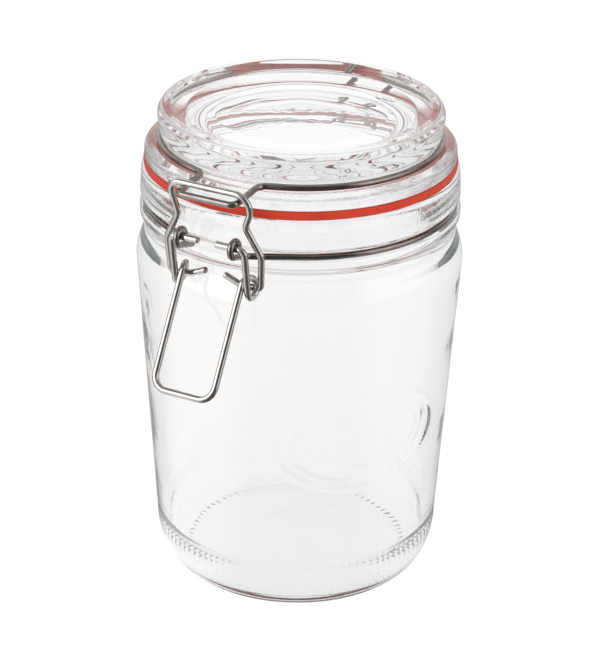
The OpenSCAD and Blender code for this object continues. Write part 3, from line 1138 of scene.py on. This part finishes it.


# Painted shade: the rings are a darkened copy of the clasp's steel, standing in for the dark glass
# that they mirror.
ring_wire = steel("ring_wire", shade=(0.29, 0.26, 0.24), roughness=0.07)
closure_wire = steel("closure_wire", shade=(0.55, 0.52, 0.50), roughness=0.06)
print("steel:", ring_wire.name, closure_wire.name)

# %% Bend the wires
neck_ring = wire("neck_ring_wire", neck_ring_path, ring_wire)
lid_ring = wire("lid_ring_wire", lid_ring_path, ring_wire)
lever = wire("lever_wire", lever_path, closure_wire, LEVER_WIRE)
clasp = wire("clasp_wire", clasp_path, closure_wire)

# %% [markdown]
# ## Putting it together
#
# Each visible piece stands for one node of the frame and rides on that node's body. The table
# also gives the slot of the node's finish, whose name the piece's material already carries.

# %% Bodies, nodes and slots
PIECES = [
    (jar, "jar_body", "jar", "jar_glass"),
    (neck_ring, "neck_ring", "jar", "ring_wire"),
    (lid, "glass_lid", "lid", "lid_glass"),
    (gasket, "gasket", "lid", "gasket_rubber"),
    (lid_ring, "lid_ring", "lid", "ring_wire"),
    (lever, "lever", "lever", "closure_wire"),
    (clasp, "clasp", "clasp", "closure_wire"),
]
for piece, node, body, slot in PIECES:
    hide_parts(node)
    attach(piece, body)
    print(f"{piece.name} stands for {node} and rides on {body}")

# %% [markdown]
# ## The studio
#
# Clear glass on white stands on a light table, so that no shadow falls behind it. What draws the
# glass and the wire is what they mirror: a bright soft light on the left, one half as bright on
# the right, black behind the camera and grey behind the jar. All of it stands where only a
# mirrored ray goes, so a Light Path node gives it to those rays alone. Each card is a place on
# the way round, from 0 straight behind the jar over 0.5 at the camera, and its brightness.

# %% Lights and cards round the jar
CARDS = [
    (0.00, 0.48),
    (0.13, 0.42),
    (0.20, 0.22),
    (0.26, 1.25),
    (0.36, 1.35),
    (0.42, 0.25),
    (0.49, 0.04),
    (0.60, 0.05),
    (0.65, 0.70),
    (0.74, 0.60),
    (0.80, 0.15),
    (0.88, 0.42),
    (1.00, 0.48),
]
MIRRORED_POWER = 2.4


def mirrored_light(nodes, towards):
    """How bright the cards are in a direction, by its angle round the jar."""
    right = nodes.vector("DOT_PRODUCT", towards, tuple(to_right), output="Value")
    front = nodes.vector("DOT_PRODUCT", towards, tuple(to_front), output="Value")
    way_round = right.maths("ARCTAN2", front) / (2 * math.pi) + 0.5
    stops = [(stop, (light, light, light, 1)) for stop, light in CARDS]
    return nodes.add("ShaderNodeValToRGB", {"stops": stops}, way_round) * MIRRORED_POWER


def kinds_of_ray(nodes):
    """1 for a ray that a surface mirrored, and 1 for a ray that came through glass."""
    path = nodes.node("ShaderNodeLightPath")
    through = nodes.out(path, "Is Transmission Ray")
    return nodes.out(path, "Is Glossy Ray") * (1 - through), through


print(f"{len(CARDS)} cards, the brightest {MIRRORED_POWER * max(light for _, light in CARDS):.2f}")

# %% Floor
TABLE_GLOW, TABLE_CARDS, THROUGH_LOSS = 0.95, 0.35, 0.11


def light_table():
    """Glow of the floor: even, a little weaker through glass, and the dimmed cards where
    something mirrors it."""
    material, nodes, way_out = new_material("light_table")
    mirrored, through = kinds_of_ray(nodes)
    cards = mirrored_light(nodes, on_object(nodes)) * TABLE_CARDS
    glow = TABLE_GLOW - through * THROUGH_LOSS - mirrored * (TABLE_GLOW - cards)
    shader = nodes.add(
        "ShaderNodeBsdfPrincipled",
        None,
        Base_Color=(0.12, 0.12, 0.12, 1),
        Roughness=0.9,
        Specular_IOR_Level=0.0,
        Emission_Color=glow,
        Emission_Strength=1.0,
    )
    nodes.plug(way_out.inputs["Surface"], shader)
    return material


def floor():
    """Square floor round the jar, marked as not part of it."""
    mesh = bpy.data.meshes.new("floor")
    half = 6.0
    corners = [(-half, -half, 0), (half, -half, 0), (half, half, 0), (-half, half, 0)]
    mesh.from_pydata(corners, [], [(0, 1, 2, 3)])
    mesh.materials.append(light_table())
    plane = bpy.data.objects.new("floor", mesh)
    bpy.context.scene.collection.objects.link(plane)
    print(f"floor: {2 * half:.0f} m square")


floor()

# %% Sky
SIDES, LOW, OVERHEAD = (0.5, 0.9), (0.3, 0.7), (0.6, 0.85)
SIDE_LOSS, OVERHEAD_LIGHT = 0.35, 0.45


def sky():
    """White all round and a little dimmer at the sides, with the cards for mirrored rays."""
    world = bpy.data.worlds.new("studio")
    world.use_nodes = True
    world.node_tree.nodes.clear()
    nodes = Nodes(world.node_tree)
    way_out = world.node_tree.nodes.new("ShaderNodeOutputWorld")
    towards = nodes.add("ShaderNodeTexCoord", output="Generated")
    aside = nodes.vector("DOT_PRODUCT", towards, tuple(to_right), output="Value").maths("ABSOLUTE")
    height = nodes.vector("DOT_PRODUCT", towards, (0, 0, 1), output="Value")
    plain = 1.0 - aside.fade(*SIDES) * (1 - height.fade(*LOW)) * SIDE_LOSS
    overhead = height.fade(*OVERHEAD)
    cards = mirrored_light(nodes, towards) * (1 - overhead) + overhead * OVERHEAD_LIGHT
    mirrored = kinds_of_ray(nodes)[0]
    light = plain * (1 - mirrored) + cards * mirrored
    shader = nodes.add("ShaderNodeBackground", None, Color=(1, 1, 1, 1), Strength=light)
    nodes.plug(way_out.inputs["Surface"], shader)
    bpy.context.scene.world = world


sky()
bpy.context.scene.view_settings.view_transform = "Standard"
print("world:", bpy.context.scene.world.name)

# %% [markdown]
# ## Long paths of light
#
# Light runs back and forth inside thick glass many times before it comes out. If Cycles gives
# up on such a path, it leaves a dark patch, most of all at the shoulder, where the wall holds
# light like a pipe. So the limits on bounces are raised.

# %% Bounces
LONG_PATH = 256
cycles = bpy.context.scene.cycles
cycles.max_bounces = cycles.glossy_bounces = cycles.transmission_bounces = LONG_PATH
print("bounces:", cycles.max_bounces)
